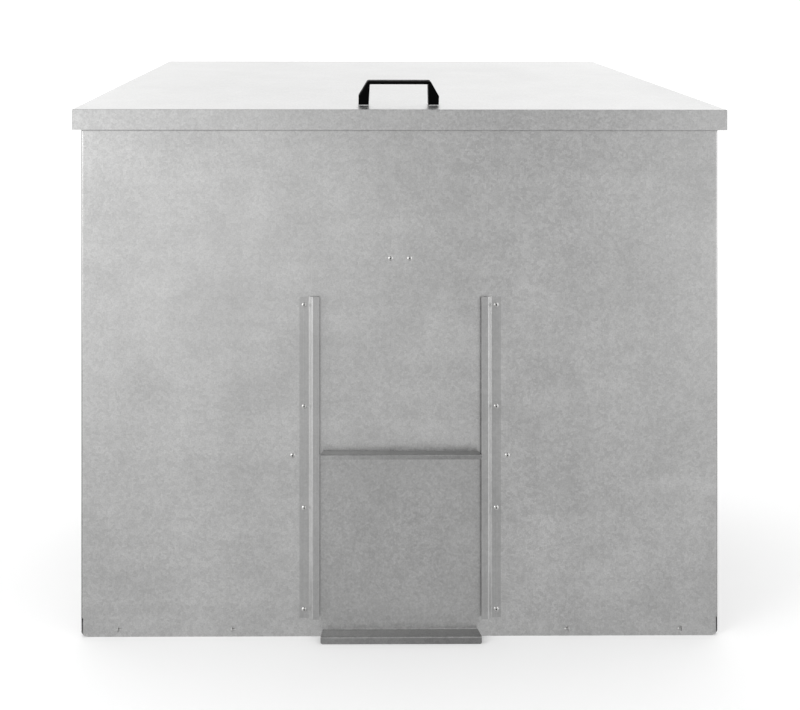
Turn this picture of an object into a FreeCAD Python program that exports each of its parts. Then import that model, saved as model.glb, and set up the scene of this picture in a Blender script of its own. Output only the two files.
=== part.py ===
"""A galvanised sheet-steel coal bunker with a hinged, sloping lid and a sliding hatch.

Millimetres. The origin is on the ground under the middle of the body, +X is to the right of
someone who faces the hatch, +Y runs from the hatch to the back, and +Z is up.
"""

import FreeCAD, Part
import math
import os
import re
import Sketcher

SIZES = [
    # alias, size in mm or degrees, what it sets
    ("body_width", 1003.0, "over the outer faces of the side panels"),
    ("body_depth", 700.0, "over the outer faces of the front and back panels"),
    ("front_height", 827.4, "ground to the rim plane at the front panel's outer face"),
    ("roof_slope", 17.6, "degrees that the rim and the lid fall towards the front"),
    ("sheet", 1.0, "thickness of the body, lid and hatch sheet"),
    ("bend_out", 2.5, "outer radius of the bends in the body's and hatch's sheet"),
    ("wall_flange", 25.0, "side flanges of the front and back panels"),
    ("rim_flange", 18.0, "inward flanges along the top of the four walls"),
    ("flange_start", 29.0, "ground to the lower end of the walls' side flanges"),
    ("corner_round", 8.0, "lower corners of the four walls"),
    ("relief", 2.0, "gap left at the ends of a flange"),
    ("floor_flange", 22.0, "height of the floor tray's flanges"),
    ("opening_inset", 11.8, "each rail's lip to the side of the hatch opening"),
    ("opening_sill", 26.0, "ground to the lower edge of the opening"),
    ("opening_top", 268.0, "ground to the upper edge of the opening"),
    ("opening_round", 12.0, "corners of the opening"),
    ("rail_base", 29.5, "ground to the lower ends of the rails"),
    ("rail_height", 504.5, "length of a rail"),
    ("rail_spacing", 253.6, "between the inner edges of the two rail lips"),
    ("rail_lip", 10.6, "width of the lip that holds the hatch"),
    ("rail_rise", 6.6, "how far the lip stands off the front panel"),
    ("rail_flange", 15.6, "width of the riveted flange"),
    ("rail_angle", 50.7, "degrees of the rail's sloping web"),
    ("rail_rivet_inset", 7.4, "rail's outer edge to its rivets"),
    ("rail_rivet_end", 13.0, "rail's ends to the first and last rivets"),
    ("hatch_side_gap", 4.4, "between the hatch plate and a rail's web"),
    ("hatch_gap", 0.3, "between the front panel and the hatch plate"),
    ("grip_side_gap", 2.3, "between the hatch's shelves and a rail's lip"),
    ("grip_height", 291.9, "ground to the upper face of the top shelf"),
    ("foot_height", 11.2, "ground to the upper face of the foot shelf"),
    ("shelf_reach", 25.0, "how far the shelves stand out from the hatch plate"),
    ("shelf_taper", 3.0, "how far each end of a shelf draws in towards its root"),
    ("lip_round", 3.5, "free corners of the shelves' lips"),
    ("grip_lip", 7.1, "turned-down lip of the top shelf"),
    ("foot_clearance", 0.4, "ground to the lip of the foot shelf"),
    ("baffle_overhang", 75.0, "hood beyond each side of the opening"),
    ("baffle_flange", 28.0, "riveted flange of the hood"),
    ("baffle_leaf", 120.0, "sloping leaf of the hood"),
    ("baffle_angle", 45.0, "degrees between the leaf and the front panel"),
    ("baffle_rivet_inset", 21.0, "hood's ends to its rivets"),
    ("baffle_rise", 16.0, "opening's upper edge to the hood's rivets"),
    ("tie_height", 594.0, "ground to the tie bar's rivets"),
    ("tie_rivets", 30.0, "between the two rivets of a tie bar foot"),
    ("tie_width", 50.0, "width of the tie bar"),
    ("tie_sheet", 2.0, "thickness of the tie bar"),
    ("tie_foot", 28.0, "height of a tie bar foot"),
    ("tie_bend", 4.0, "outer radius of the tie bar's bends"),
    ("rivet_shank", 4.0, "diameter of a rivet"),
    ("rivet_head", 8.0, "diameter of a rivet's head"),
    ("rivet_rise", 1.4, "height of a rivet's head"),
    ("rivet_tail", 1.5, "how far a rivet stands out behind the sheets"),
    ("hole_clear", 0.1, "radial gap between a hole and its rivet or screw"),
    ("screw_shank", 4.2, "diameter of a sheet screw"),
    ("screw_head", 8.0, "diameter of a sheet screw's head"),
    ("screw_rise", 2.2, "height of a sheet screw's head"),
    ("screw_length", 9.5, "length of a sheet screw under its head"),
    ("screw_height", 11.0, "ground to the screws along the foot of the walls"),
    ("screw_inner", 262.5, "middle to the inner screws, front and back"),
    ("screw_end", 60.5, "sides of the body to the outer screws, front and back"),
    ("side_screw_end", 130.0, "front and back of the body to the screws at the sides"),
    ("corner_inset", 12.0, "front or back face to the corner rivets"),
    ("corner_low", 100.0, "ground to the lowest corner rivet"),
    ("corner_drop", 128.0, "rim to the highest corner rivet"),
    ("lid_seat", 0.4, "gap between the rim flanges and the lid"),
    ("lid_side_gap", 12.3, "between a side panel and the lid's skirt"),
    ("lid_front_gap", 2.0, "between the front panel and the lid's skirt"),
    ("lid_rear_gap", 6.0, "between the back panel and the lid's skirt"),
    ("skirt", 32.3, "upright height of the lid's skirt"),
    ("lid_fold", 1.4, "outer radius of the folds round the lid's top"),
    ("stiffener_inset", 36.5, "sides of the body to the ends of the lid's stiffener"),
    ("stiffener_flange", 14.0, "each welded flange of the stiffener"),
    ("stiffener_drop", 15.0, "depth of the stiffener"),
    ("stiffener_web", 25.0, "width of its flat bottom"),
    ("handle_width", 130.0, "over the feet of the handle"),
    ("handle_rise", 38.0, "lid to the top of the handle"),
    ("handle_shoulder", 14.0, "lid to the foot of the sloping shoulder"),
    ("handle_top", 101.0, "width of the flat top"),
    ("handle_bar", 5.3, "thickness of the grip bar"),
    ("handle_foot", 16.5, "width of a foot"),
    ("handle_taper", 1.5, "how far a leg's inner face leans in"),
    ("handle_depth", 20.0, "front to back"),
    ("handle_setback", 42.0, "lid's front edge to the handle"),
    ("handle_edge", 1.4, "rounding of the handle's edges"),
    ("handle_screw_depth", 12.0, "how far a screw goes into its foot"),
    ("washer_size", 14.0, "diameter of a handle washer"),
    ("washer_sheet", 1.2, "thickness of a handle washer"),
    ("pad_sheet", 0.9, "thickness of the pad under each foot of the handle"),
    ("pad_inset", 0.5, "how far a pad stays inside the foot's outline"),
    ("hinge_inset", 171.5, "sides of the body to the middle of each hinge"),
    ("hinge_length", 70.0, "length of a hinge"),
    ("hinge_middle", 24.0, "length of the middle knuckle"),
    ("hinge_play", 0.4, "end gap between knuckles"),
    ("pin_radius", 2.5, "hinge pin"),
    ("pin_clear", 0.05, "radial gap round the pin"),
    ("pin_stand", 1.5, "how far the pin stands out at each end"),
    ("knuckle_radius", 4.5, "outside of the knuckles"),
    ("knuckle_gap", 0.4, "between the knuckles and the lid's skirt"),
    ("knuckle_notch", 5.2, "pin to the part of a leaf that clears the other's knuckle"),
    ("leaf_sheet", 1.5, "thickness of a hinge leaf"),
    ("leaf_bend", 3.0, "outer radius of a leaf's bends"),
    ("leaf_crank", 45.0, "degrees of the lower leaf's crank"),
    ("upper_leaf", 27.0, "pin to the upper leaf's top"),
    ("upper_leaf_rivets", 17.0, "pin to the upper leaf's rivets"),
    ("lower_leaf", 34.0, "flat part of the lower leaf"),
    ("lower_leaf_rivets", 20.0, "crank to the lower leaf's rivets"),
    ("leaf_rivet_pitch", 46.0, "between the rivets of a leaf"),
]
ALIASES = {alias for alias, size, purpose in SIZES}

# Places that several pieces share, as expressions of the sizes.
FRONT = "(-body_depth/2)"
BACK = "(body_depth/2)"
BACK_HEIGHT = "(front_height + body_depth*tan(roof_slope))"
INSIDE_BEND = "(bend_out - sheet)"
HALF_PLATE = "(body_width/2 - sheet - bend_out)"
OPENING_HALF = "(rail_spacing/2 - opening_inset)"
BAFFLE_HALF = f"({OPENING_HALF} + baffle_overhang)"
BAFFLE_LEVEL = "(opening_top + baffle_rise)"
HATCH_HALF = "(rail_spacing/2 + rail_lip - hatch_side_gap)"
GRIP_HALF = "(rail_spacing/2 - grip_side_gap)"
RAIL_OUTER = "(rail_spacing/2 + rail_lip + rail_rise/tan(rail_angle) + rail_flange)"
HATCH_BACK = f"({FRONT} - hatch_gap)"
LID_FRONT = f"({FRONT} - lid_front_gap - sheet)"
LID_BACK = f"({BACK} + lid_rear_gap + sheet)"
LID_LIFT = "((lid_seat + sheet)/cos(roof_slope))"
LID_FRONT_TOP = f"(front_height - (lid_front_gap + sheet)*tan(roof_slope) + {LID_LIFT})"
LID_BACK_TOP = f"(front_height + (body_depth + lid_rear_gap + sheet)*tan(roof_slope) + {LID_LIFT})"
LID_HALF = "(body_width/2 + lid_side_gap + sheet)"
PIN_Y = f"({LID_BACK} + knuckle_gap + knuckle_radius)"
PIN_Z = f"({LID_BACK_TOP} - skirt)"
CRANK_DEPTH = "(lid_rear_gap + sheet + knuckle_gap)"
CRANK_LEG = f"({CRANK_DEPTH}/sin(leaf_crank) - (2*leaf_bend - leaf_sheet)*tan(leaf_crank/2))"
CRANK_START = "(knuckle_notch + 2)"
CRANK_DROP = f"({CRANK_START} + {CRANK_DEPTH}/tan(leaf_crank) + leaf_sheet*tan(leaf_crank/2))"
HINGE_MIDDLE = "(body_width/2 - hinge_inset)"
LOWER_RIVETS = f"({PIN_Z} - {CRANK_DROP} - lower_leaf_rivets)"
UPPER_RIVETS = f"({PIN_Z} + upper_leaf_rivets)"
HOLE = "(rivet_shank/2 + hole_clear)"
SCREW_HOLE = "(screw_shank/2 + hole_clear)"
HANDLE_SCREW = "((handle_width - handle_foot)/2)"
HANDLE_MIDDLE = "(handle_setback + handle_depth/2)"

LEFT = 1
RIGHT = -1

# The many small fasteners and their holes are many-sided, to keep the facets few.
SHANK_SIDES = 8
HEAD_SIDES = 10

# The ways that a fastener's head faces: an axis and the degrees it is turned about it.
FORWARD = ((1, 0, 0), "90")
BACKWARD = ((1, 0, 0), "-90")
TO_RIGHT = ((0, 1, 0), "90")
TO_LEFT = ((0, 1, 0), "-90")
UNDER_LID = ((1, 0, 0), "180 + roof_slope")
ON_LID = ((1, 0, 0), "roof_slope")

doc = FreeCAD.newDocument("CoalBunker")
sheet = doc.addObject("Spreadsheet::Sheet", "Sizes")
for row, (alias, size, purpose) in enumerate(SIZES, start=1):
    sheet.set(f"A{row}", alias)
    sheet.set(f"B{row}", str(size))
    sheet.set(f"C{row}", purpose)
    sheet.setAlias(f"B{row}", alias)
doc.recompute()
PARTS = []


# Expressions


def bound(text):
    """The expression with each size's alias read from the sheet."""
    return re.sub(r"[a-z_]+", lambda word: "Sizes." * (word[0] in ALIASES) + word[0], text)


def number(text):
    """What an expression is worth now."""
    return float(sheet.evalExpression(text))


def bind(thing, setting, text):
    thing.setExpression(setting, bound(text))


def ahead(point, heading, distance):
    """The point that lies a distance from another, in a direction given in degrees."""
    return (
        f"{point[0]} + ({distance})*cos({heading})",
        f"{point[1]} + ({distance})*sin({heading})",
    )


# Sketches


def new_body(label):
    body = doc.addObject("PartDesign::Body", label)
    body.Label = label
    return body


def new_sketch(body, plane, offset="0", tilt=None):
    """An empty sketch on one of the body's own planes, moved along its normal or tilted."""
    sketch = body.newObject("Sketcher::SketchObject", f"{body.Label}_sketch")
    planes = {feature.Role: feature for feature in body.Origin.OriginFeatures}
    sketch.AttachmentSupport = (planes[plane], [""])
    sketch.MapMode = "FlatFace"
    if tilt:
        y, z = tilt
        turn = FreeCAD.Rotation(FreeCAD.Vector(1, 0, 0), number("roof_slope"))
        sketch.AttachmentOffset = FreeCAD.Placement(FreeCAD.Vector(), turn)
        bind(sketch, "AttachmentOffset.Base.y", y)
        bind(sketch, "AttachmentOffset.Base.z", z)
        bind(sketch, "AttachmentOffset.Rotation.Angle", "roof_slope")
    elif offset != "0":
        bind(sketch, "AttachmentOffset.Base.z", offset)
    return sketch


def draw(sketch, points, arcs=None):
    """A closed outline through points; arcs maps an edge's index to (centre, radius, turn)."""
    arcs = arcs or {}
    spots = [FreeCAD.Vector(number(u), number(v), 0) for u, v in points]
    count = len(points)
    first = sketch.GeometryCount
    shapes = []
    ends = []
    for i, spot in enumerate(spots):
        after = spots[(i + 1) % count]
        if i not in arcs:
            shapes.append(Part.LineSegment(spot, after))
            ends.append((1, 2))
            continue
        centre, radius, turn = arcs[i]
        middle = FreeCAD.Vector(number(centre[0]), number(centre[1]), 0)
        whole = Part.Circle(middle, FreeCAD.Vector(0, 0, 1), number(radius))
        angles = [math.atan2(p.y - middle.y, p.x - middle.x) for p in (spot, after)]
        low, high = angles if turn == LEFT else reversed(angles)
        if high < low:
            high += 2*math.pi
        shapes.append(Part.ArcOfCircle(whole, low, high))
        ends.append((1, 2) if turn == LEFT else (2, 1))
    sketch.addGeometry(shapes, False)
    joins = []
    sizes = []
    for i, (u, v) in enumerate(points):
        before = (i - 1) % count
        arriving = (first + before, ends[before][1])
        leaving = (first + i, ends[i][0])
        joins.append(Sketcher.Constraint("Coincident", *arriving, *leaving))
        corner = arriving if i in arcs else leaving
        sizes.append(("DistanceX", corner, u))
        sizes.append(("DistanceY", corner, v))
        if i in arcs:
            sizes.append(("Radius", (first + i,), arcs[i][1]))
    sketch.addConstraint(joins)
    hold(sketch, sizes)


def hold(sketch, sizes):
    """Adds dimensions that follow expressions; a size is (kind, what it measures, expression)."""
    first = sketch.ConstraintCount
    sketch.addConstraint([
        Sketcher.Constraint(kind, *place, number(text)) for kind, place, text in sizes
    ])
    for index, (kind, place, text) in enumerate(sizes, start=first):
        bind(sketch, f"Constraints[{index}]", text)


def circle(sketch, centre, radius):
    """A circle that follows its centre's and radius's expressions."""
    index = sketch.GeometryCount
    middle = FreeCAD.Vector(number(centre[0]), number(centre[1]), 0)
    sketch.addGeometry(Part.Circle(middle, FreeCAD.Vector(0, 0, 1), number(radius)), False)
    hold(sketch, [
        ("DistanceX", (index, 3), centre[0]),
        ("DistanceY", (index, 3), centre[1]),
        ("Radius", (index,), radius),
    ])


def ring(centre, radius, sides):
    """The corners of a regular polygon that stands for a circle."""
    return [ahead(centre, f"{360*i/sides}", radius) for i in range(sides)]


def rectangle(left, bottom, right, top):
    return [(left, bottom), (right, bottom), (right, top), (left, top)]


def rounded_rectangle(left, bottom, right, top, lower, upper):
    """Corners and arcs of an upright rectangle with its lower and upper corners rounded."""
    points = []
    arcs = {}
    corners = [
        (left, bottom, lower, 180),
        (right, bottom, lower, 270),
        (right, top, upper, 0),
        (left, top, upper, 90),
    ]
    for u, v, radius, start in corners:
        if radius == "0":
            points.append((u, v))
            continue
        across = "-" if start in (270, 0) else "+"
        along = "-" if start in (0, 90) else "+"
        centre = (f"{u} {across} {radius}", f"{v} {along} {radius}")
        arcs[len(points)] = (centre, radius, LEFT)
        points.append(ahead(centre, start, radius))
        points.append(ahead(centre, start + 90, radius))
    return points, arcs


def folded(start, heading, steps, thickness="sheet", radius="bend_out"):
    """The section of a folded sheet.

    start is on the sheet's right-hand face, for someone who walks along it at heading. A step
    is a flat length, or a pair of a side, LEFT or RIGHT, and the degrees of a bend.
    """
    outer = f"({radius})"
    inner = f"({radius} - {thickness})"
    right = [start]
    left = [ahead(start, f"({heading}) + 90", thickness)]
    bends = []
    for step in steps:
        if isinstance(step, str):
            right.append(ahead(right[-1], heading, step))
            left.append(ahead(left[-1], heading, step))
            bends.append(None)
            continue
        side, angle = step
        near, far = (outer, inner) if side == LEFT else (inner, outer)
        centre = ahead(right[-1], f"{heading} + {90*side}", near)
        heading = f"({heading} + {side}*({angle}))"
        right.append(ahead(centre, f"{heading} - {90*side}", near))
        left.append(ahead(centre, f"{heading} - {90*side}", far))
        bends.append((centre, near, far, side))
    arcs = {}
    last = len(right) - 1
    for i, bend in enumerate(bends):
        if bend:
            centre, near, far, side = bend
            arcs[i] = (centre, near, side)
            arcs[2*last - i] = (centre, far, -side)
    return right + left[::-1], arcs


# Features


def pad(body, sketch, length, symmetric=False, reverse=False):
    feature = body.newObject("PartDesign::Pad", f"{body.Label}_pad")
    feature.Profile = sketch
    feature.SideType = "Symmetric" if symmetric else "One side"
    feature.Reversed = reverse
    bind(feature, "Length", length)
    return feature


def pocket(body, sketch, length=None):
    """Cuts the sketch out on both sides of its plane, through everything unless a length is set."""
    feature = body.newObject("PartDesign::Pocket", f"{body.Label}_pocket")
    feature.Profile = sketch
    feature.SideType = "Symmetric"
    feature.Type = "Length" if length else "ThroughAll"
    if length:
        bind(feature, "Length", length)
    return feature


def plate(body, plane, offset, points, arcs=None, thickness="sheet", reverse=False):
    sketch = new_sketch(body, plane, offset)
    draw(sketch, points, arcs)
    return pad(body, sketch, thickness, reverse=reverse)


def fold_along(body, plane, section, length, start=None):
    """Pads a folded section, from start along the plane's normal or to both sides of the plane."""
    sketch = new_sketch(body, plane, start or "0")
    draw(sketch, *section)
    return pad(body, sketch, length, symmetric=start is None)


def holes(body, plane, centres, radius, offset="0", length=None, tilt=None):
    sketch = new_sketch(body, plane, offset, tilt)
    for centre in centres:
        draw(sketch, ring(centre, radius, SHANK_SIDES))
    return pocket(body, sketch, length)


def edges_at(feature, middles):
    """Names of the feature's edges whose middles are at the given places."""
    doc.recompute()
    spots = [FreeCAD.Vector(*(number(text) for text in middle)) for middle in middles]
    names = []
    for index, edge in enumerate(feature.Shape.Edges, start=1):
        middle = edge.valueAt((edge.FirstParameter + edge.LastParameter)/2)
        if any(middle.distanceToPoint(spot) < 0.05 for spot in spots):
            names.append(f"Edge{index}")
    if len(names) != len(spots):
        raise RuntimeError(f"{feature.Label}: {len(names)} edges found for {len(spots)} places")
    return names


def fillet(body, feature, middles, radius):
    rounding = body.newObject("PartDesign::Fillet", f"{body.Label}_fillet")
    rounding.Base = (feature, edges_at(feature, middles))
    bind(rounding, "Radius", radius)
    return rounding


def keep(thing, label):
    """Marks an object as one of the pieces that are written out."""
    thing.Label = label
    PARTS.append(thing)
    return thing


def mirrored(source, label):
    """The same piece on the other side of the bunker."""
    twin = doc.addObject("Part::Mirroring", label)
    twin.Source = source
    twin.Normal = FreeCAD.Vector(1, 0, 0)
    return keep(twin, label)


def both_sides(*places):
    """Each place and its mirror image, left to right."""
    return [(f"-({x})", z) for x, z in places] + [(x, z) for x, z in places]


# The four walls


def front_screws():
    outer = "body_width/2 - screw_end"
    return both_sides(("screw_inner", "screw_height"), (outer, "screw_height"))


def tie_bar_rivets():
    return both_sides(("tie_rivets/2", "tie_height"))


def baffle_rivets():
    return both_sides((f"{BAFFLE_HALF} - baffle_rivet_inset", BAFFLE_LEVEL))


def rail_rivets():
    pitch = "(rail_height - 2*rail_rivet_end)/3"
    column = f"{RAIL_OUTER} - rail_rivet_inset"
    return both_sides(*((column, f"rail_base + rail_rivet_end + {i}*{pitch}") for i in range(4)))


def corner_rivets(height, y):
    """Three places up one edge of a side panel, as (y, z)."""
    pitch = f"({height} - corner_low - corner_drop)/2"
    return [(y, f"corner_low + {i}*{pitch}") for i in range(3)]


def front_corner_rivets():
    return corner_rivets("front_height", f"{FRONT} + corner_inset")


def back_corner_rivets():
    return corner_rivets(BACK_HEIGHT, f"{BACK} - corner_inset")


def leaf_rivets(height):
    """The rivets of both hinges at a given height."""
    return both_sides(
        (f"{HINGE_MIDDLE} - leaf_rivet_pitch/2", height),
        (f"{HINGE_MIDDLE} + leaf_rivet_pitch/2", height),
    )


def side_screws():
    y = "(body_depth/2 - side_screw_end)"
    return [(f"-{y}", "screw_height"), (y, "screw_height")]


def make_front_panel():
    body = new_body("front_panel")
    turn = "(90 - roof_slope)"
    setback = f"bend_out*tan({turn}/2)"
    top = f"(front_height - {setback})"
    outline = rounded_rectangle(f"-{HALF_PLATE}", "0", HALF_PLATE, top, "corner_round", "0")
    plate(body, "XZ_Plane", f"-{FRONT}", *outline, reverse=True)
    rim = folded((f"{FRONT} + sheet", top), "90", [(RIGHT, turn), f"rim_flange - {setback}"])
    fold_along(body, "YZ_Plane", rim, "body_width - 2*rim_flange - relief")
    flange = "wall_flange - bend_out"
    length = f"front_height - 2*sheet - {INSIDE_BEND} - flange_start"
    right = folded((HALF_PLATE, FRONT), "0", [(LEFT, "90"), flange])
    left = folded((f"-{HALF_PLATE}", f"{FRONT} + sheet"), "180", [(RIGHT, "90"), flange])
    for section in (left, right):
        fold_along(body, "XY_Plane", section, length, start="flange_start")
    opening = new_sketch(body, "XZ_Plane", f"-{FRONT}")
    draw(opening, *rounded_rectangle(
        f"-{OPENING_HALF}", "opening_sill", OPENING_HALF, "opening_top",
        "opening_round", "opening_round",
    ))
    pocket(body, opening)
    for places in (rail_rivets(), baffle_rivets(), tie_bar_rivets()):
        holes(body, "XZ_Plane", places, HOLE)
    holes(body, "XZ_Plane", front_screws(), SCREW_HOLE)
    holes(body, "YZ_Plane", front_corner_rivets(), HOLE)
    keep(body, "front_panel")


def make_back_panel():
    body = new_body("back_panel")
    turn = "(90 + roof_slope)"
    setback = f"bend_out*tan({turn}/2)"
    top = f"({BACK_HEIGHT} - {setback})"
    outline = rounded_rectangle(f"-{HALF_PLATE}", "0", HALF_PLATE, top, "corner_round", "0")
    plate(body, "XZ_Plane", f"-{BACK}", *outline)
    rim = folded((BACK, top), "90", [(LEFT, turn), f"rim_flange - {setback}"])
    fold_along(body, "YZ_Plane", rim, "body_width - 2*rim_flange - relief")
    flange = "wall_flange - bend_out"
    drop = f"(wall_flange*tan(roof_slope) + sheet/cos(roof_slope) + {INSIDE_BEND} + relief)"
    length = f"{BACK_HEIGHT} - {drop} - flange_start"
    right = folded((HALF_PLATE, f"{BACK} - sheet"), "0", [(RIGHT, "90"), flange])
    left = folded((f"-{HALF_PLATE}", BACK), "180", [(LEFT, "90"), flange])
    for section in (left, right):
        fold_along(body, "XY_Plane", section, length, start="flange_start")
    for places in (leaf_rivets(LOWER_RIVETS), tie_bar_rivets()):
        holes(body, "XZ_Plane", places, HOLE)
    holes(body, "XZ_Plane", front_screws(), SCREW_HOLE)
    holes(body, "YZ_Plane", back_corner_rivets(), HOLE)
    keep(body, "back_panel")


def make_side_panels():
    """A side panel stops short of the front and back bends, so that both stay in view."""
    body = new_body("right_side_panel")
    front = f"({FRONT} + bend_out + lid_seat)"
    back = f"({BACK} - bend_out - lid_seat)"
    front_top = "(front_height + (bend_out + lid_seat)*tan(roof_slope))"
    back_top = f"({BACK_HEIGHT} - (bend_out + lid_seat)*tan(roof_slope))"
    inner_face = "body_width/2 - sheet"
    level, arcs = rounded_rectangle(front, "0", back, front_top, "corner_round", "0")
    outline = level[:-2] + [(back, back_top), (front, front_top)]
    plate(body, "YZ_Plane", inner_face, outline, arcs)
    drop = "sheet/cos(roof_slope)"
    rim = [
        (front, f"{front_top} - {drop}"),
        (back, f"{back_top} - {drop}"),
        (back, back_top),
        (front, front_top),
    ]
    start = "body_width/2 - rim_flange"
    wall = plate(body, "YZ_Plane", start, rim, thickness="rim_flange - sheet/2")
    middle = f"({front_top} + {back_top})/2"
    outer = fillet(body, wall, [("body_width/2", "0", middle)], "bend_out")
    fillet(body, outer, [(inner_face, "0", f"{middle} - {drop}")], INSIDE_BEND)
    rivets = front_corner_rivets() + back_corner_rivets()
    holes(body, "YZ_Plane", rivets, HOLE)
    holes(body, "YZ_Plane", side_screws(), SCREW_HOLE)
    keep(body, "right_side_panel")
    mirrored(body, "left_side_panel")


def make_floor_panel():
    """A tray whose flanges stand up inside the four walls."""
    body = new_body("floor_panel")
    half_depth = "(body_depth/2 - sheet - bend_out)"
    outline = rectangle(f"-{HALF_PLATE}", f"-{half_depth}", HALF_PLATE, half_depth)
    plate(body, "XY_Plane", "0", outline)
    leg = "floor_flange - bend_out"
    for plane, half, run in (
        ("YZ_Plane", half_depth, HALF_PLATE),
        ("XZ_Plane", HALF_PLATE, half_depth),
    ):
        near = folded((f"-{half}", "sheet"), "180", [(RIGHT, "90"), leg])
        far = folded((half, "0"), "0", [(LEFT, "90"), leg])
        for section in (near, far):
            fold_along(body, plane, section, f"2*({run} - relief)")
    holes(body, "XZ_Plane", front_screws(), SCREW_HOLE)
    holes(body, "YZ_Plane", side_screws(), SCREW_HOLE)
    keep(body, "floor_panel")


# The hatch, its rails and what is behind it


def make_rails():
    """A Z-section: riveted flange, sloping web and the lip that holds the hatch."""
    body = new_body("right_rail")
    outer_turn = "bend_out*tan(rail_angle/2)"
    inner_turn = f"{INSIDE_BEND}*tan(rail_angle/2)"
    section = folded((RAIL_OUTER, FRONT), "180", [
        f"rail_flange - {outer_turn}",
        (LEFT, "rail_angle"),
        f"rail_rise/sin(rail_angle) - {outer_turn} - {inner_turn}",
        (RIGHT, "rail_angle"),
        f"rail_lip - {inner_turn}",
    ])
    fold_along(body, "XY_Plane", section, "rail_height", start="rail_base")
    holes(body, "XZ_Plane", rail_rivets()[4:], HOLE)
    keep(body, "right_rail")
    mirrored(body, "left_rail")


def make_hatch_plate():
    """One sheet: grip lip, top shelf, plate, foot shelf and foot lip."""
    body = new_body("hatch_plate")
    shelf = "shelf_reach + sheet - 2*bend_out"
    lip_front = f"({HATCH_BACK} - shelf_reach - sheet)"
    section = folded((f"{lip_front} + sheet", "grip_height - grip_lip"), "90", [
        "grip_lip - bend_out",
        (RIGHT, "90"),
        shelf,
        (RIGHT, "90"),
        "grip_height - foot_height + sheet - 2*bend_out",
        (RIGHT, "90"),
        shelf,
        (LEFT, "90"),
        "foot_height - foot_clearance - bend_out",
    ])
    strip = fold_along(body, "YZ_Plane", section, f"2*{GRIP_HALF}")
    corners = [
        (f"{side}{GRIP_HALF}", f"{lip_front} + sheet/2", level)
        for level in ("grip_height - grip_lip", "foot_clearance")
        for side in ("-", "")
    ]
    fillet(body, strip, corners, "lip_round")
    for level in ("grip_height", "foot_height - sheet/2"):
        ends = new_sketch(body, "XY_Plane", level)
        for side in ("-", ""):
            wedge = [
                (f"{side}({GRIP_HALF} - shelf_taper)", f"{HATCH_BACK} + sheet"),
                (f"{side}{GRIP_HALF}", f"{lip_front} + bend_out"),
                (f"{side}({GRIP_HALF} + shelf_taper)", f"{lip_front} + bend_out"),
                (f"{side}({GRIP_HALF} + shelf_taper)", f"{HATCH_BACK} + sheet"),
            ]
            draw(ends, wedge)
        pocket(body, ends, "2*(bend_out + relief)")
    outline = rectangle(
        f"-{HATCH_HALF}", "rail_base + relief", HATCH_HALF, "grip_height - bend_out - relief",
    )
    plate(body, "XZ_Plane", f"-{HATCH_BACK}", outline)
    keep(body, "hatch_plate")


def make_coal_baffle():
    """A hood over the opening, which keeps the weight of the coal off the hatch."""
    body = new_body("coal_baffle")
    top = f"({BAFFLE_LEVEL} + baffle_flange/2)"
    setback = "bend_out*tan(baffle_angle/2)"
    section = folded((f"{FRONT} + sheet", top), "270", [
        f"baffle_flange - {setback}",
        (LEFT, "baffle_angle"),
        "baffle_leaf",
    ])
    fold_along(body, "YZ_Plane", section, f"2*{BAFFLE_HALF}")
    holes(body, "XZ_Plane", baffle_rivets(), HOLE)
    keep(body, "coal_baffle")


def make_tie_bar():
    """A strap from the front panel to the back panel, with its two feet turned down."""
    body = new_body("tie_bar")
    leg = "tie_foot - tie_bend"
    section = folded(
        (f"{FRONT} + sheet + tie_sheet", "tie_height - tie_foot/2"),
        "90",
        [leg, (RIGHT, "90"), "body_depth - 2*sheet - 2*tie_bend", (RIGHT, "90"), leg],
        thickness="tie_sheet",
        radius="tie_bend",
    )
    fold_along(body, "YZ_Plane", section, "tie_width")
    holes(body, "XZ_Plane", tie_bar_rivets(), HOLE)
    keep(body, "tie_bar")


# The lid


def on_lid(body, above="0"):
    """Stands a body on or above the lid: its origin is the front edge, its X-Y plane the slope."""
    turn = FreeCAD.Rotation(FreeCAD.Vector(1, 0, 0), number("roof_slope"))
    body.Placement = FreeCAD.Placement(FreeCAD.Vector(), turn)
    y, z = lid_place("0", above)
    bind(body, "Placement.Base.y", y)
    bind(body, "Placement.Base.z", z)
    bind(body, "Placement.Rotation.Angle", "roof_slope")


def lid_place(along, above):
    """A place on the lid, along the slope from its front edge and above its top, as (y, z)."""
    return (
        f"{LID_FRONT} + ({along})*cos(roof_slope) - ({above})*sin(roof_slope)",
        f"{LID_FRONT_TOP} + ({along})*sin(roof_slope) + ({above})*cos(roof_slope)",
    )


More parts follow.
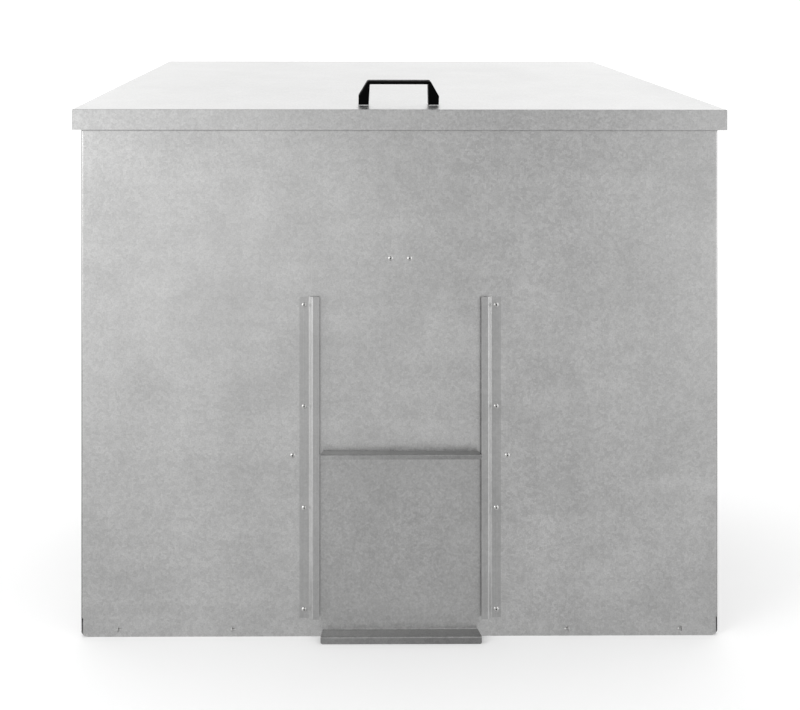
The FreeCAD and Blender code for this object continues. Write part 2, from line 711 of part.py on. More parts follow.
def make_lid_panel():
    """A pan with rounded upper edges, open below."""
    body = new_body("lid_panel")
    side = [
        (LID_FRONT, f"{LID_FRONT_TOP} - skirt"),
        (LID_BACK, f"{LID_BACK_TOP} - skirt"),
        (LID_BACK, LID_BACK_TOP),
        (LID_FRONT, LID_FRONT_TOP),
    ]
    block = fold_along(body, "YZ_Plane", (side, {}), f"2*{LID_HALF}")
    middle = (f"({LID_FRONT} + {LID_BACK})/2", f"({LID_FRONT_TOP} + {LID_BACK_TOP})/2")
    upper_edges = [
        ("0", LID_FRONT, LID_FRONT_TOP),
        ("0", LID_BACK, LID_BACK_TOP),
        (f"-{LID_HALF}", *middle),
        (LID_HALF, *middle),
    ]
    rounded = fillet(body, block, upper_edges, "lid_fold")
    doc.recompute()
    underside = [
        f"Face{index}"
        for index, face in enumerate(rounded.Shape.Faces, start=1)
        if face.normalAt(0, 0).z < -0.5
    ]
    shell = body.newObject("PartDesign::Thickness", "lid_panel_shell")
    shell.Base = (rounded, underside)
    shell.Reversed = True
    bind(shell, "Value", "sheet")
    skirt_middle = f"-({LID_BACK} - sheet/2)"
    holes(body, "XZ_Plane", leaf_rivets(UPPER_RIVETS), HOLE, skirt_middle, "4*sheet")
    screws = both_sides((HANDLE_SCREW, "0"))
    centre = lid_place(HANDLE_MIDDLE, "-sheet/2")
    holes(body, "XY_Plane", screws, SCREW_HOLE, length="4*sheet", tilt=centre)
    keep(body, "lid_panel")


def make_lid_stiffener():
    """A top-hat section welded under the lid, from side to side."""
    body = new_body("lid_stiffener")
    middle = f"(({LID_BACK} - {LID_FRONT})/cos(roof_slope)/2)"
    flange = "stiffener_flange - bend_out"
    wall = "stiffener_drop - 2*bend_out + sheet"
    start = (f"{middle} - stiffener_web/2 - stiffener_flange + sheet", "-2*sheet")
    section = folded(start, "0", [
        flange,
        (RIGHT, "90"),
        wall,
        (LEFT, "90"),
        "stiffener_web - 2*bend_out",
        (LEFT, "90"),
        wall,
        (RIGHT, "90"),
        flange,
    ])
    fold_along(body, "YZ_Plane", section, "body_width - 2*stiffener_inset")
    on_lid(body)
    keep(body, "lid_stiffener")


def make_lid_handle():
    """A moulded bridge handle with sloping shoulders."""
    body = new_body("lid_handle")
    foot = "(handle_width/2 - handle_foot)"
    inner = f"({foot} - handle_taper)"
    under = "(handle_rise - handle_bar)"
    right = [
        (foot, "0"),
        ("handle_width/2", "0"),
        ("handle_width/2", "handle_shoulder"),
        ("handle_top/2", "handle_rise"),
    ]
    left = [(f"-{x}", z) for x, z in reversed(right)]
    arch = [(f"-{foot}", "0"), (f"-{inner}", under), (inner, under)]
    outline = right + left + arch[1:]
    block = plate(body, "XZ_Plane", "-handle_setback", outline, thickness="handle_depth", reverse=True)
    doc.recompute()
    edges = []
    for y in ("handle_setback", "(handle_setback + handle_depth)"):
        closed = outline + outline[:1]
        for (x_a, z_a), (x_b, z_b) in zip(closed, closed[1:]):
            if (z_a, z_b) != ("0", "0"):
                edges.append((f"({x_a} + {x_b})/2", y, f"({z_a} + {z_b})/2"))
    fillet(body, block, edges, "handle_edge")
    screws = both_sides((HANDLE_SCREW, HANDLE_MIDDLE))
    holes(body, "XY_Plane", screws, SCREW_HOLE, length="2*(handle_screw_depth + 2*relief)")
    on_lid(body, "pad_sheet")
    keep(body, "lid_handle")


# The hinges


def knuckles(body, spans):
    """Rolled knuckles round the pin; each span is (start, length) along X."""
    for start, length in spans:
        section = new_sketch(body, "YZ_Plane", start)
        circle(section, (PIN_Y, PIN_Z), "knuckle_radius")
        circle(section, (PIN_Y, PIN_Z), "pin_radius + pin_clear")
        pad(body, section, length)


def make_hinges():
    """A cranked lower leaf on the back panel, an upper leaf on the lid's skirt, and the pin."""
    outer_length = "(hinge_length - hinge_middle - 2*hinge_play)/2"
    outer_spans = [
        ("-hinge_length/2", outer_length),
        ("hinge_middle/2 + hinge_play", outer_length),
    ]
    rivets = [(x, LOWER_RIVETS) for x in ("-leaf_rivet_pitch/2", "leaf_rivet_pitch/2")]

    lower = new_body("right_hinge_lower_leaf")
    face = f"({PIN_Y} - knuckle_radius)"
    section = folded(
        (face, f"{PIN_Z} - knuckle_notch"),
        "270",
        [
            f"{CRANK_START} - knuckle_notch",
            (RIGHT, "leaf_crank"),
            CRANK_LEG,
            (LEFT, "leaf_crank"),
            "lower_leaf",
        ],
        thickness="leaf_sheet",
        radius="leaf_bend",
    )
    fold_along(lower, "YZ_Plane", section, "hinge_length")
    for start, length in outer_spans:
        tab = rectangle(face, f"{PIN_Z} - knuckle_notch", f"{face} + leaf_sheet", PIN_Z)
        plate(lower, "YZ_Plane", start, tab, thickness=length)
    knuckles(lower, outer_spans)
    holes(lower, "XZ_Plane", rivets, HOLE)

    upper = new_body("right_hinge_upper_leaf")
    leaf = rectangle(
        LID_BACK, f"{PIN_Z} + knuckle_notch", f"{LID_BACK} + leaf_sheet", f"{PIN_Z} + upper_leaf",
    )
    fold_along(upper, "YZ_Plane", (leaf, {}), "hinge_length")
    tab = rectangle(LID_BACK, PIN_Z, f"{LID_BACK} + leaf_sheet", f"{PIN_Z} + knuckle_notch")
    fold_along(upper, "YZ_Plane", (tab, {}), "hinge_middle")
    knuckles(upper, [("-hinge_middle/2", "hinge_middle")])
    upper_rivets = [(x, UPPER_RIVETS) for x, z in rivets]
    holes(upper, "XZ_Plane", upper_rivets, HOLE)

    pin = doc.addObject("Part::Cylinder", "right_hinge_pin")
    pin.Placement = FreeCAD.Placement(FreeCAD.Vector(), FreeCAD.Rotation(FreeCAD.Vector(0, 1, 0), 90))
    bind(pin, "Radius", "pin_radius")
    bind(pin, "Height", "hinge_length + 2*pin_stand")
    bind(pin, "Placement.Base.x", f"{HINGE_MIDDLE} - hinge_length/2 - pin_stand")
    bind(pin, "Placement.Base.y", PIN_Y)
    bind(pin, "Placement.Base.z", PIN_Z)

    for leaf in (lower, upper):
        bind(leaf, "Placement.Base.x", HINGE_MIDDLE)
    for thing in (lower, upper, pin):
        name = thing.Name
        keep(thing, name)
        mirrored(thing, name.replace("right", "left"))


# Fasteners


def headed(label, head, rise, shank, length):
    """A fastener that stands upright: a tapered head, and its shank below 0."""
    body = new_body(label)
    top = new_sketch(body, "XY_Plane")
    draw(top, ring(("0", "0"), f"{head}/2", HEAD_SIDES))
    cap = pad(body, top, rise)
    bind(cap, "TaperAngle", f"-atan({head}/5/{rise})")
    stem = new_sketch(body, "XY_Plane")
    draw(stem, ring(("0", "0"), f"{shank}/2", SHANK_SIDES))
    pad(body, stem, length, reverse=True)
    return body


def rivet(label, grip):
    """A blind rivet whose shank passes through the grip, the thickness of what it holds."""
    return headed(label, "rivet_head", "rivet_rise", "rivet_shank", f"{grip} + rivet_tail")


def screw(label, length):
    return headed(label, "screw_head", "screw_rise", "screw_shank", length)


def make_washer():
    body = new_body("washer")
    sketch = new_sketch(body, "XY_Plane")
    draw(sketch, ring(("0", "0"), "washer_size/2", HEAD_SIDES))
    draw(sketch, ring(("0", "0"), SCREW_HOLE, SHANK_SIDES))
    pad(body, sketch, "washer_sheet")
    return body


def make_pad():
    """A flat pad that seals a foot of the handle on the lid."""
    body = new_body("pad")
    sketch = new_sketch(body, "XY_Plane")
    width = "(handle_foot/2 - pad_inset)"
    depth = "(handle_depth/2 - pad_inset)"
    draw(sketch, rectangle(f"-{width}", f"-{depth}", width, depth))
    draw(sketch, ring(("0", "0"), SCREW_HOLE, SHANK_SIDES))
    pad(body, sketch, "pad_sheet")
    return body


def fasteners(label, rows):
    """One node of many like fasteners; a row is (kind, way its head faces, places)."""
    group = doc.addObject("Part::Compound", label)
    links = []
    for kind, (axis, angle), places in rows:
        for x, y, z in places:
            link = doc.addObject("App::Link", f"{label}_{len(links) + 1}")
            link.LinkedObject = kind
            turn = FreeCAD.Rotation(FreeCAD.Vector(*axis), number(angle))
            link.Placement = FreeCAD.Placement(FreeCAD.Vector(), turn)
            bind(link, "Placement.Base.x", x)
            bind(link, "Placement.Base.y", y)
            bind(link, "Placement.Base.z", z)
            bind(link, "Placement.Rotation.Angle", angle)
            links.append(link)
    group.Links = links
    keep(group, label)


def at_y(y, places):
    return [(x, y, z) for x, z in places]


def at_x(x, places):
    return [(x, y, z) for y, z in places]


def make_fasteners():
    panel_rivet = rivet("panel_rivet", "2*sheet")
    tie_rivet = rivet("tie_rivet", "sheet + tie_sheet")
    leaf_rivet = rivet("leaf_rivet", "sheet + leaf_sheet")
    sheet_screw = screw("sheet_screw", "screw_length")
    grip = "washer_sheet + sheet + pad_sheet + handle_screw_depth"
    handle_screw = screw("handle_screw", grip)

    fasteners("rail_rivets", [(panel_rivet, FORWARD, at_y(f"{FRONT} - sheet", rail_rivets()))])
    fasteners("baffle_rivets", [(panel_rivet, FORWARD, at_y(FRONT, baffle_rivets()))])
    fasteners("tie_bar_rivets", [
        (tie_rivet, FORWARD, at_y(FRONT, tie_bar_rivets())),
        (tie_rivet, BACKWARD, at_y(BACK, tie_bar_rivets())),
    ])
    fasteners("floor_screws_front", [(sheet_screw, FORWARD, at_y(FRONT, front_screws()))])
    fasteners("floor_screws_back", [(sheet_screw, BACKWARD, at_y(BACK, front_screws()))])
    corners = front_corner_rivets() + back_corner_rivets()
    for side, way, x in (("left", TO_LEFT, "-body_width/2"), ("right", TO_RIGHT, "body_width/2")):
        fasteners(f"floor_screws_{side}", [(sheet_screw, way, at_x(x, side_screws()))])
        fasteners(f"{side}_corner_rivets", [(panel_rivet, way, at_x(x, corners))])

    for level, face, height in (("lower", BACK, LOWER_RIVETS), ("upper", LID_BACK, UPPER_RIVETS)):
        places = at_y(f"{face} + leaf_sheet", leaf_rivets(height))
        fasteners(f"{level}_leaf_rivets", [(leaf_rivet, BACKWARD, places)])

    for label, kind, way, above in (
        ("handle_screws", handle_screw, UNDER_LID, "-(sheet + washer_sheet)"),
        ("handle_washers", make_washer(), UNDER_LID, "-sheet"),
        ("handle_pads", make_pad(), ON_LID, "0"),
    ):
        seat = lid_place(HANDLE_MIDDLE, above)
        fasteners(label, [(kind, way, [(x, *seat) for x in (f"-{HANDLE_SCREW}", HANDLE_SCREW)])])


# Writing the pieces


def check_document():
    """Stops if anything in the document failed, or a piece has no sound solid."""
    for thing in doc.Objects:
        if {"Invalid", "Error"} & set(thing.State):
            raise RuntimeError(f"{thing.Label} failed: {thing.State}")
    for piece in PARTS:
        shape = piece.Shape
        if shape.isNull() or not shape.isValid() or not shape.Solids:
            raise RuntimeError(f"{piece.Label} has no sound solid")


def write_parts():
    os.makedirs("parts", exist_ok=True)
    for piece in PARTS:
        piece.Shape.exportStep(f"parts/{piece.Label}.step")
        print(f"{piece.Label}: {len(piece.Shape.Solids)} solids, {piece.Shape.Volume:.0f} mm3")


def main():
    make_front_panel()
    make_back_panel()
    make_side_panels()
    make_floor_panel()
    make_rails()
    make_coal_baffle()
    make_tie_bar()
    make_hatch_plate()
    make_lid_panel()
    make_lid_stiffener()
    make_lid_handle()
    make_hinges()
    make_fasteners()
    doc.recompute()
    check_document()
    write_parts()


main()
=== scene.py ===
"""The looks of a galvanised coal bunker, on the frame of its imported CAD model.

Metres, +Z up, with the origin on the ground under the middle of the body.
"""
import math

import bmesh
import bpy
from mathutils import Matrix, Vector


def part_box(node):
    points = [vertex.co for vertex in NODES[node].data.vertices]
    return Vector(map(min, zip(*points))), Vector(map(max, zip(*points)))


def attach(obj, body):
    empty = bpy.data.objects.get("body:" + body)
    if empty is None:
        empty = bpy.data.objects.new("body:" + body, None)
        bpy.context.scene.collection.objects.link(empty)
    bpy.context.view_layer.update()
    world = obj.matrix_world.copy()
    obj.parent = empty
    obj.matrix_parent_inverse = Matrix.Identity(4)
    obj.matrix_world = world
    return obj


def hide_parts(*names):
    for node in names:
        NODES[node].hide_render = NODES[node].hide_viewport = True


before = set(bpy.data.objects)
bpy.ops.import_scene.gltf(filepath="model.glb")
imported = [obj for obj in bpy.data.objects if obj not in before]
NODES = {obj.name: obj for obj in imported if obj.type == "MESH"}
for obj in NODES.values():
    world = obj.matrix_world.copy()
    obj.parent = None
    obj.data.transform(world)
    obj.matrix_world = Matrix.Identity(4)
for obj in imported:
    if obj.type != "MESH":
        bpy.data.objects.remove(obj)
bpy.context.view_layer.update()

MM = 0.001
X, Y, Z = range(3)


# Shader nodes


NOISE_RANGE = (0.3, 0.7)  # holds nearly all the values of a noise


class Net:
    """A node tree that is built by short calls."""

    def __init__(self, tree):
        self.tree = tree

    def add(self, kind, **settings):
        node = self.tree.nodes.new(kind)
        for name, value in settings.items():
            setattr(node, name, value)
        return node

    def join(self, source, socket):
        """Joins an output to an input, or sets the input to a plain value."""
        if isinstance(source, bpy.types.NodeSocket):
            self.tree.links.new(source, socket)
        else:
            socket.default_value = source

    def between(self, value, low, high, start=0.0, end=1.0, kind="LINEAR"):
        """Maps value, which runs from start to end, to low and high."""
        node = self.add("ShaderNodeMapRange", interpolation_type=kind)
        inputs = {
            "Value": value,
            "From Min": start,
            "From Max": end,
            "To Min": low,
            "To Max": high,
        }
        for name, source in inputs.items():
            self.join(source, node.inputs[name])
        return node.outputs["Result"]

    def varied(self, noise, middle, spread):
        """Maps a noise to middle, give or take spread."""
        return self.between(noise, middle - spread, middle + spread, *NOISE_RANGE)

    def math(self, operation, *values):
        node = self.add("ShaderNodeMath", operation=operation)
        for value, socket in zip(values, node.inputs):
            self.join(value, socket)
        return node.outputs["Value"]

    def product(self, *values):
        result = values[0]
        for value in values[1:]:
            result = self.math("MULTIPLY", result, value)
        return result

    def total(self, *values):
        result = values[0]
        for value in values[1:]:
            result = self.math("ADD", result, value)
        return result

    def parts(self, vector):
        """The X, Y and Z of a vector."""
        node = self.add("ShaderNodeSeparateXYZ")
        self.join(vector, node.inputs["Vector"])
        return [node.outputs[axis] for axis in "XYZ"]


class Look(Net):
    """A Principled material. The scales of its patterns are per metre."""

    def __init__(self, name):
        self.material = bpy.data.materials.new(name)
        self.material.use_nodes = True
        super().__init__(self.material.node_tree)
        self.shader = self.tree.nodes["Principled BSDF"]
        coordinates = self.add("ShaderNodeTexCoord")
        self.place = coordinates.outputs["Object"]
        self.normal = coordinates.outputs["Normal"]

    def stretched(self, scale):
        """The object's coordinates, times a scale for each axis."""
        node = self.add("ShaderNodeMapping")
        self.join(self.place, node.inputs["Vector"])
        node.inputs["Scale"].default_value = scale
        return node.outputs["Vector"]

    def noise(self, scale, detail=2.0, roughness=0.5, distortion=0.0, place=None):
        node = self.add("ShaderNodeTexNoise")
        self.join(place or self.place, node.inputs["Vector"])
        node.inputs["Scale"].default_value = scale
        node.inputs["Detail"].default_value = detail
        node.inputs["Roughness"].default_value = roughness
        node.inputs["Distortion"].default_value = distortion
        return node.outputs["Fac"]

    def crystals(self, scale):
        """A random value from 0 to 1 for each cell of a crystalline surface."""
        node = self.add("ShaderNodeTexVoronoi")
        self.join(self.place, node.inputs["Vector"])
        node.inputs["Scale"].default_value = scale
        channels = self.add("ShaderNodeSeparateColor")
        self.join(node.outputs["Color"], channels.inputs["Color"])
        return channels.outputs["Red"]

    def grey(self, value, tint=(1.0, 1.0, 1.0)):
        """A colour of one tone, slightly tinted."""
        node = self.add("ShaderNodeCombineColor")
        for name, share in zip(("Red", "Green", "Blue"), tint):
            self.join(self.math("MULTIPLY", value, share), node.inputs[name])
        return node.outputs["Color"]

    def bump(self, height, depth, strength):
        """Relief that stands up to depth high."""
        node = self.add("ShaderNodeBump")
        self.join(height, node.inputs["Height"])
        node.inputs["Strength"].default_value = strength
        node.inputs["Distance"].default_value = depth
        self.join(node.outputs["Normal"], self.shader.inputs["Normal"])

    def set(self, **inputs):
        for name, value in inputs.items():
            self.join(value, self.shader.inputs[name.replace("_", " ")])


# Materials


ZINC_TINT = (1.0, 1.0, 0.995)
PLATING_TINT = (1.0, 1.0, 0.985)
SCUFF_RANGE = (0.4, 0.75)  # leaves only the strongest scuffs of a noise


def within(look, limits):
    """1 where a surface is inside every limit, and 0 outside any of them.

    Each limit is (what, axis, start, end): from start to end, the place along the axis, or the
    size of the normal along it, goes from outside to inside.
    """
    inside = []
    for what, axis, start, end in limits:
        if what == "normal":
            value = look.math("ABSOLUTE", look.parts(look.normal)[axis])
        else:
            value = look.parts(look.place)[axis]
        inside.append(look.between(value, 0.0, 1.0, start, end))
    return look.product(*inside)


def galvanised(
    name, tone, roughness, clouds=0.03, grain=0.075, relief=0.2, rolled=0.0, shaded=(),
):
    """Hot-dip zinc on sheet steel: a fine spangle under clouds, and upright roll marks.

    Each of shaded is (share, limit, ...): inside the limits, the tone goes to that share.
    A share below 1 is painted shade there, and a share above 1 is painted light.
    """
    look = Look(name)
    broad = look.noise(2.3, detail=3.0, roughness=0.55, distortion=0.4)
    middling = look.noise(13.0, roughness=0.6)
    upright = look.noise(1.0, place=look.stretched((30.0, 30.0, 2.0)))
    level = look.noise(1.0, place=look.stretched((2.5, 2.5, 32.0)))
    fine = look.noise(420.0, roughness=0.6)
    cells = look.crystals(230.0)
    shades = [
        tone,
        look.varied(broad, 1, clouds),
        look.varied(middling, 1, 1.8*clouds),
        look.varied(upright, 1, 0.5*clouds),
        look.varied(level, 1, 0.8*clouds),
        look.varied(fine, 1, 1.25*grain),
        look.between(cells, 1 - 0.85*grain, 1 + 0.85*grain),
    ]
    if rolled:
        along = look.stretched((420.0, 420.0, 2.5))
        marks = look.noise(1.0, detail=3.0, roughness=0.6, place=along)
        shades.append(look.varied(marks, 1, rolled))
    # Painted shade and painted light: inside its limits, the tone goes to each share.
    for share, *limits in shaded:
        shades.append(look.between(within(look, limits), 1.0, share))
    dull = look.total(
        look.between(cells, roughness - 0.04, roughness + 0.04),
        look.varied(broad, 0, 0.03),
    )
    look.set(
        Base_Color=look.grey(look.product(*shades), ZINC_TINT),
        Metallic=1.0,
        Roughness=dull,
    )
    look.bump(fine, 0.03*MM, relief)
    return look.material


def plated(name, tone, roughness):
    """Zinc plating on small pressed parts, slightly clouded by handling."""
    look = Look(name)
    cloud = look.noise(90.0, detail=3.0)
    shade = look.product(tone, look.between(cloud, 0.88, 1.1, *NOISE_RANGE))
    dull = look.between(cloud, roughness + 0.08, roughness - 0.06, *NOISE_RANGE)
    look.set(Base_Color=look.grey(shade, PLATING_TINT), Metallic=1.0, Roughness=dull)
    look.bump(look.noise(900.0), 0.02*MM, 0.3)
    return look.material


def plastic(name, tone, roughness, gloss, grain_depth):
    """A moulding with the fine grain of its mould and a faint scuff here and there."""
    look = Look(name)
    scuff = look.noise(60.0, detail=4.0, roughness=0.7)
    shade = look.product(tone, look.between(scuff, 0.9, 1.1, *SCUFF_RANGE))
    dull = look.varied(scuff, roughness, 0.05)
    look.set(Base_Color=look.grey(shade), Roughness=dull, Specular_IOR_Level=gloss)
    look.bump(look.noise(1500.0), grain_depth, 0.5)
    return look.material


def dress(material, *nodes):
    """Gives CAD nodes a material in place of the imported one."""
    for node in nodes:
        for holder in NODES[node].material_slots:
            holder.material = material


# Small fasteners


WELD = 0.001*MM  # corners nearer than this are one
LATHE_STEPS = 32
SHARP_ANGLE = math.radians(35)
# The recesses and mandrel holes in this slot are painted near black as shade.
RECESS_SHADE_SLOT = 1  # the material slot of a recess or a mandrel's hole

# Radii
SHANK = 1.98*MM
RIVET_HEAD = 4.0*MM
RIVET_BULB = 2.6*MM
MANDREL = 1.15*MM
SCREW_HEAD = 4.0*MM
SCREW_TIP = 0.3*MM

# Heights above the sheet
RIVET_RISE = 1.4*MM
RIVET_CROWN = 1.25*MM
MANDREL_SEAT = 0.2*MM
SCREW_RISE = 2.2*MM
RECESS_TOP = SCREW_RISE + 0.1*MM
RECESS_FLOOR = 0.3*MM

# Half the length and width of the two bars of a cross
RECESS_MOUTH = (2.4*MM, 0.65*MM)
RECESS_BOTTOM = (1.5*MM, 0.5*MM)

BODY_RIVETS = (
    "rail_rivets", "baffle_rivets", "tie_bar_rivets", "left_corner_rivets",
    "right_corner_rivets", "lower_leaf_rivets",
)


def solids(node):
    """The corners of each separate solid of a CAD node."""
    mesh = bmesh.new()
    mesh.from_mesh(NODES[node].data)
    bmesh.ops.remove_doubles(mesh, verts=mesh.verts, dist=WELD)
    seen = set()
    found = []
    for first in mesh.verts:
        if first in seen:
            continue
        seen.add(first)
        group = [first]
        for vert in group:  # which grows by the corners that it reaches
            for link in vert.link_edges:
                other = link.other_vert(vert)
                if other not in seen:
                    seen.add(other)
                    group.append(other)
        found.append([vert.co.copy() for vert in group])
    mesh.free()
    return found


def lathe(mesh, profile):
    """Turns a profile of (radius, height) about the Z axis, from the top down."""
    turns = [math.tau*i/LATHE_STEPS for i in range(LATHE_STEPS)]
    rings = []
    for radius, height in profile:
        if radius == 0:
            rings.append([mesh.verts.new((0, 0, height))])
            continue
        rings.append([
            mesh.verts.new((radius*math.cos(turn), radius*math.sin(turn), height))
            for turn in turns
        ])
    for upper, lower in zip(rings, rings[1:]):
        for i in range(LATHE_STEPS):
            j = (i + 1) % LATHE_STEPS
            if len(upper) == 1:
                mesh.faces.new((upper[0], lower[i], lower[j]))
            elif len(lower) == 1:
                mesh.faces.new((upper[i], lower[0], upper[j]))
            else:
                mesh.faces.new((upper[i], lower[i], lower[j], upper[j]))


def rivet_profile(length):
    """A blind rivet: a domed head with its broken mandrel sunk in it, and a bulbed tail."""
    return [
        (0, 0.4*MM),
        (0.8*MM, 0.35*MM),
        (0.9*MM, MANDREL_SEAT),
        (MANDREL, MANDREL_SEAT),
        (MANDREL, RIVET_CROWN),
        (1.5*MM, RIVET_RISE),
        (2.2*MM, RIVET_CROWN),
        (2.8*MM, 1.0*MM),
        (3.3*MM, 0.7*MM),
        (3.7*MM, 0.4*MM),
        (0.99*RIVET_HEAD, 0.15*MM),
        (0.99*RIVET_HEAD, 0),
        (SHANK, 0),
        (SHANK, -(length - 1.4*MM)),
        (RIVET_BULB, -(length - 1.1*MM)),
        (RIVET_BULB, -(length - 0.4*MM)),
        (0.6*RIVET_BULB, -length),
        (0, -length),
    ]


def screw_profile(length):
    """A pan-head sheet screw, without its recess and thread."""
    return [
        (0, SCREW_RISE),
        (1.4*MM, 0.98*SCREW_RISE),
        (2.4*MM, 0.9*SCREW_RISE),
        (3.2*MM, 0.7*SCREW_RISE),
        (0.97*SCREW_HEAD, 0.4*SCREW_RISE),
        (SCREW_HEAD, 0.2*SCREW_RISE),
        (SCREW_HEAD, 0),
        (SHANK, 0),
        (SHANK, -(length - 2*MM)),
        (SCREW_TIP, -length),
        (0, -length),
    ]


def as_mesh(name, made, materials):
    """Closes mesh data into a mesh with these materials."""
    bmesh.ops.recalc_face_normals(made, faces=made.faces)
    mesh = bpy.data.meshes.new(name)
    made.to_mesh(mesh)
    made.free()
    for material in materials:
        mesh.materials.append(material)
    return mesh


def rivet(length, materials):
    """A rivet whose mandrel hole has the second material, a near black: partly the mandrel's
    darker steel, partly painted shade in the hole.
    """
    made = bmesh.new()
    lathe(made, rivet_profile(length))
    hole = 1.05*MANDREL
    for face in made.faces:
        middle = face.calc_center_median()
        if middle.z > 0 and middle.xy.length < hole:
            face.material_index = RECESS_SHADE_SLOT
    return as_mesh("rivet", made, materials)


def screw(length, materials):
    """A screw whose cross recess has the second material, a near black that is painted shade
    in the recess.
    """
    made = bmesh.new()
    lathe(made, screw_profile(length))
    return less(as_mesh("screw", made, materials), cross_recess(materials))


def cross_recess(materials):
    """The tapered cross that a screwdriver fits, as a mesh that is cut out of a head."""
    made = bmesh.new()
    corners = ((-1, -1), (1, -1), (1, 1), (-1, 1))
    ends = ((*RECESS_MOUTH, RECESS_TOP), (*RECESS_BOTTOM, RECESS_FLOOR))
    for turn in (math.pi/4, 3*math.pi/4):
        spin = Matrix.Rotation(turn, 4, "Z")
        verts = [
            made.verts.new(spin @ Vector((x*length, y*width, height)))
            for length, width, height in ends
            for x, y in corners
        ]
        made.faces.new(verts[:4])
        made.faces.new(verts[7:3:-1])
        for i in range(4):
            j = (i + 1) % 4
            made.faces.new((verts[j], verts[i], verts[i + 4], verts[j + 4]))
    # Painted shade: the recess's faces take the near-black second material.
    for face in made.faces:
        face.material_index = RECESS_SHADE_SLOT
    return as_mesh("cross_recess", made, materials)


def less(mesh, tool):
    """mesh with tool cut out of it."""
    body = bpy.data.objects.new("cut_body", mesh)
    cutter = bpy.data.objects.new("cut_tool", tool)
    for thing in (body, cutter):
        bpy.context.scene.collection.objects.link(thing)
    cut = body.modifiers.new("cut", "BOOLEAN")
    cut.operation = "DIFFERENCE"
    cut.solver = "EXACT"
    cut.use_self = True
    cut.object = cutter
    graph = bpy.context.evaluated_depsgraph_get()
    result = bpy.data.meshes.new_from_object(body.evaluated_get(graph))
    for thing in (body, cutter):
        bpy.data.objects.remove(thing)
    return result


def facing(points):
    """The way that a fastener's head faces: out of the body, square to its wall."""
    middle = sum(points, Vector())/len(points)
    wide, deep = (
        max(p[axis] for p in points) - min(p[axis] for p in points) for axis in (X, Y)
    )
    axis = X if wide < deep else Y
    way = Vector((0, 0, 0))
    way[axis] = math.copysign(1, middle[axis])
    return way


def seat(points, way, rise):
    """Where a head meets its sheet, and how far the shank reaches behind."""
    heights = [p.dot(way) for p in points]
    tall = [p for p in points if p.dot(way) > max(heights) - rise/2]
    middle = sum(tall, Vector())/len(tall)
    head = max(heights) - rise
    return middle + (head - middle.dot(way))*way, head - min(heights)


def finish_piece(name, made, materials, body, slot, node):
    """Turns mesh data into a piece that rides on its body and stands for a CAD node."""
    mesh = as_mesh(name, made, materials)
    mesh.shade_smooth()
    mesh.set_sharp_from_angle(angle=SHARP_ANGLE)
    piece = bpy.data.objects.new(name, mesh)
    bpy.context.scene.collection.objects.link(piece)
    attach(piece, body)
    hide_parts(node)


def fasten(node, make, rise, materials, body, slot, way=None):
    """Puts detailed fasteners where a CAD node has plain ones, as one piece."""
    made = bmesh.new()
    for points in solids(node):
        heading = way or facing(points)
        place, length = seat(points, heading, rise)
        mesh = make(length, materials)
        spin = heading.to_track_quat("Z", "Y").to_matrix().to_4x4()
        mesh.transform(Matrix.Translation(place) @ spin)
        made.from_mesh(mesh)
        bpy.data.meshes.remove(mesh)
    finish_piece(f"{node}_detailed", made, materials, body, slot, node)


def make_fasteners(rivet_metal, screw_metal, hole):
    """All the rivets and screws. Those of the handle face down, from under the lid."""
    rivets = (rivet_metal, hole)
    screws = (screw_metal, hole)
    for node in BODY_RIVETS:
        fasten(node, rivet, RIVET_RISE, rivets, "body", "rivet_steel")
    fasten("upper_leaf_rivets", rivet, RIVET_RISE, rivets, "lid", "rivet_steel")
    for side in ("front", "back", "left", "right"):
        fasten(f"floor_screws_{side}", screw, SCREW_RISE, screws, "body", "screw_steel")
    slope = lid_slope()
    under = Vector((0, math.sin(slope), -math.cos(slope)))
    fasten("handle_screws", screw, SCREW_RISE, screws, "lid", "screw_steel", way=under)


# The handle


FOOT_WIDTH = 16.5*MM
SHOULDER = 14.0*MM
SHOULDER_ROUND = 5*MM
TOP_WIDTH = 101.0*MM
TOP_ROUND = 4*MM
BAR = 5.3*MM
LEG_TAPER = 1.5*MM
ARCH_ROUND = 1.5*MM
HANDLE_EDGE = 1.6*MM
ROUND_STEPS = 6
EDGE_STEPS = 5


def lid_slope():
    """The lid's fall towards the front, as an angle."""
    band = 3*MM  # the corners that lie this near the front or the back are its edges
    low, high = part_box("lid_panel")
    verts = [vert.co for vert in NODES["lid_panel"].data.vertices]
    front = max(place.z for place in verts if place.y < low.y + band)
    back = max(place.z for place in verts if place.y > high.y - band)
    return math.atan2(back - front, high.y - low.y)


def rounded(corners):
    """A closed outline of (x, z) with each corner (x, z, radius) rounded."""
    outline = []
    for i, (x, z, radius) in enumerate(corners):
        corner = Vector((x, z))
        before = Vector(corners[i - 1][:2]) - corner
        after = Vector(corners[(i + 1) % len(corners)][:2]) - corner
        if radius == 0:
            outline.append(corner)
            continue
        before.normalize()
        after.normalize()
        half = before.angle(after)/2
        centre = corner + (before + after).normalized()*radius/math.sin(half)
        start = corner + before*radius/math.tan(half) - centre
        end = corner + after*radius/math.tan(half) - centre
        turn = start.angle_signed(end)
        for k in range(ROUND_STEPS + 1):
            arm = start.copy()
            arm.rotate(Matrix.Rotation(-turn*k/ROUND_STEPS, 2))
            outline.append(centre + arm)
    return outline


def inset(outline, depth):
    """An outline moved inwards by depth, point by point. It runs anticlockwise."""
    moved = []
    for i, place in enumerate(outline):
        before = (place - outline[i - 1]).normalized()
        after = (outline[(i + 1) % len(outline)] - place).normalized()
        inward = Vector((-before.y - after.y, before.x + after.x)).normalized()
        lean = inward.dot(Vector((-before.y, before.x)))
        moved.append(place + inward*depth/lean)
    return moved


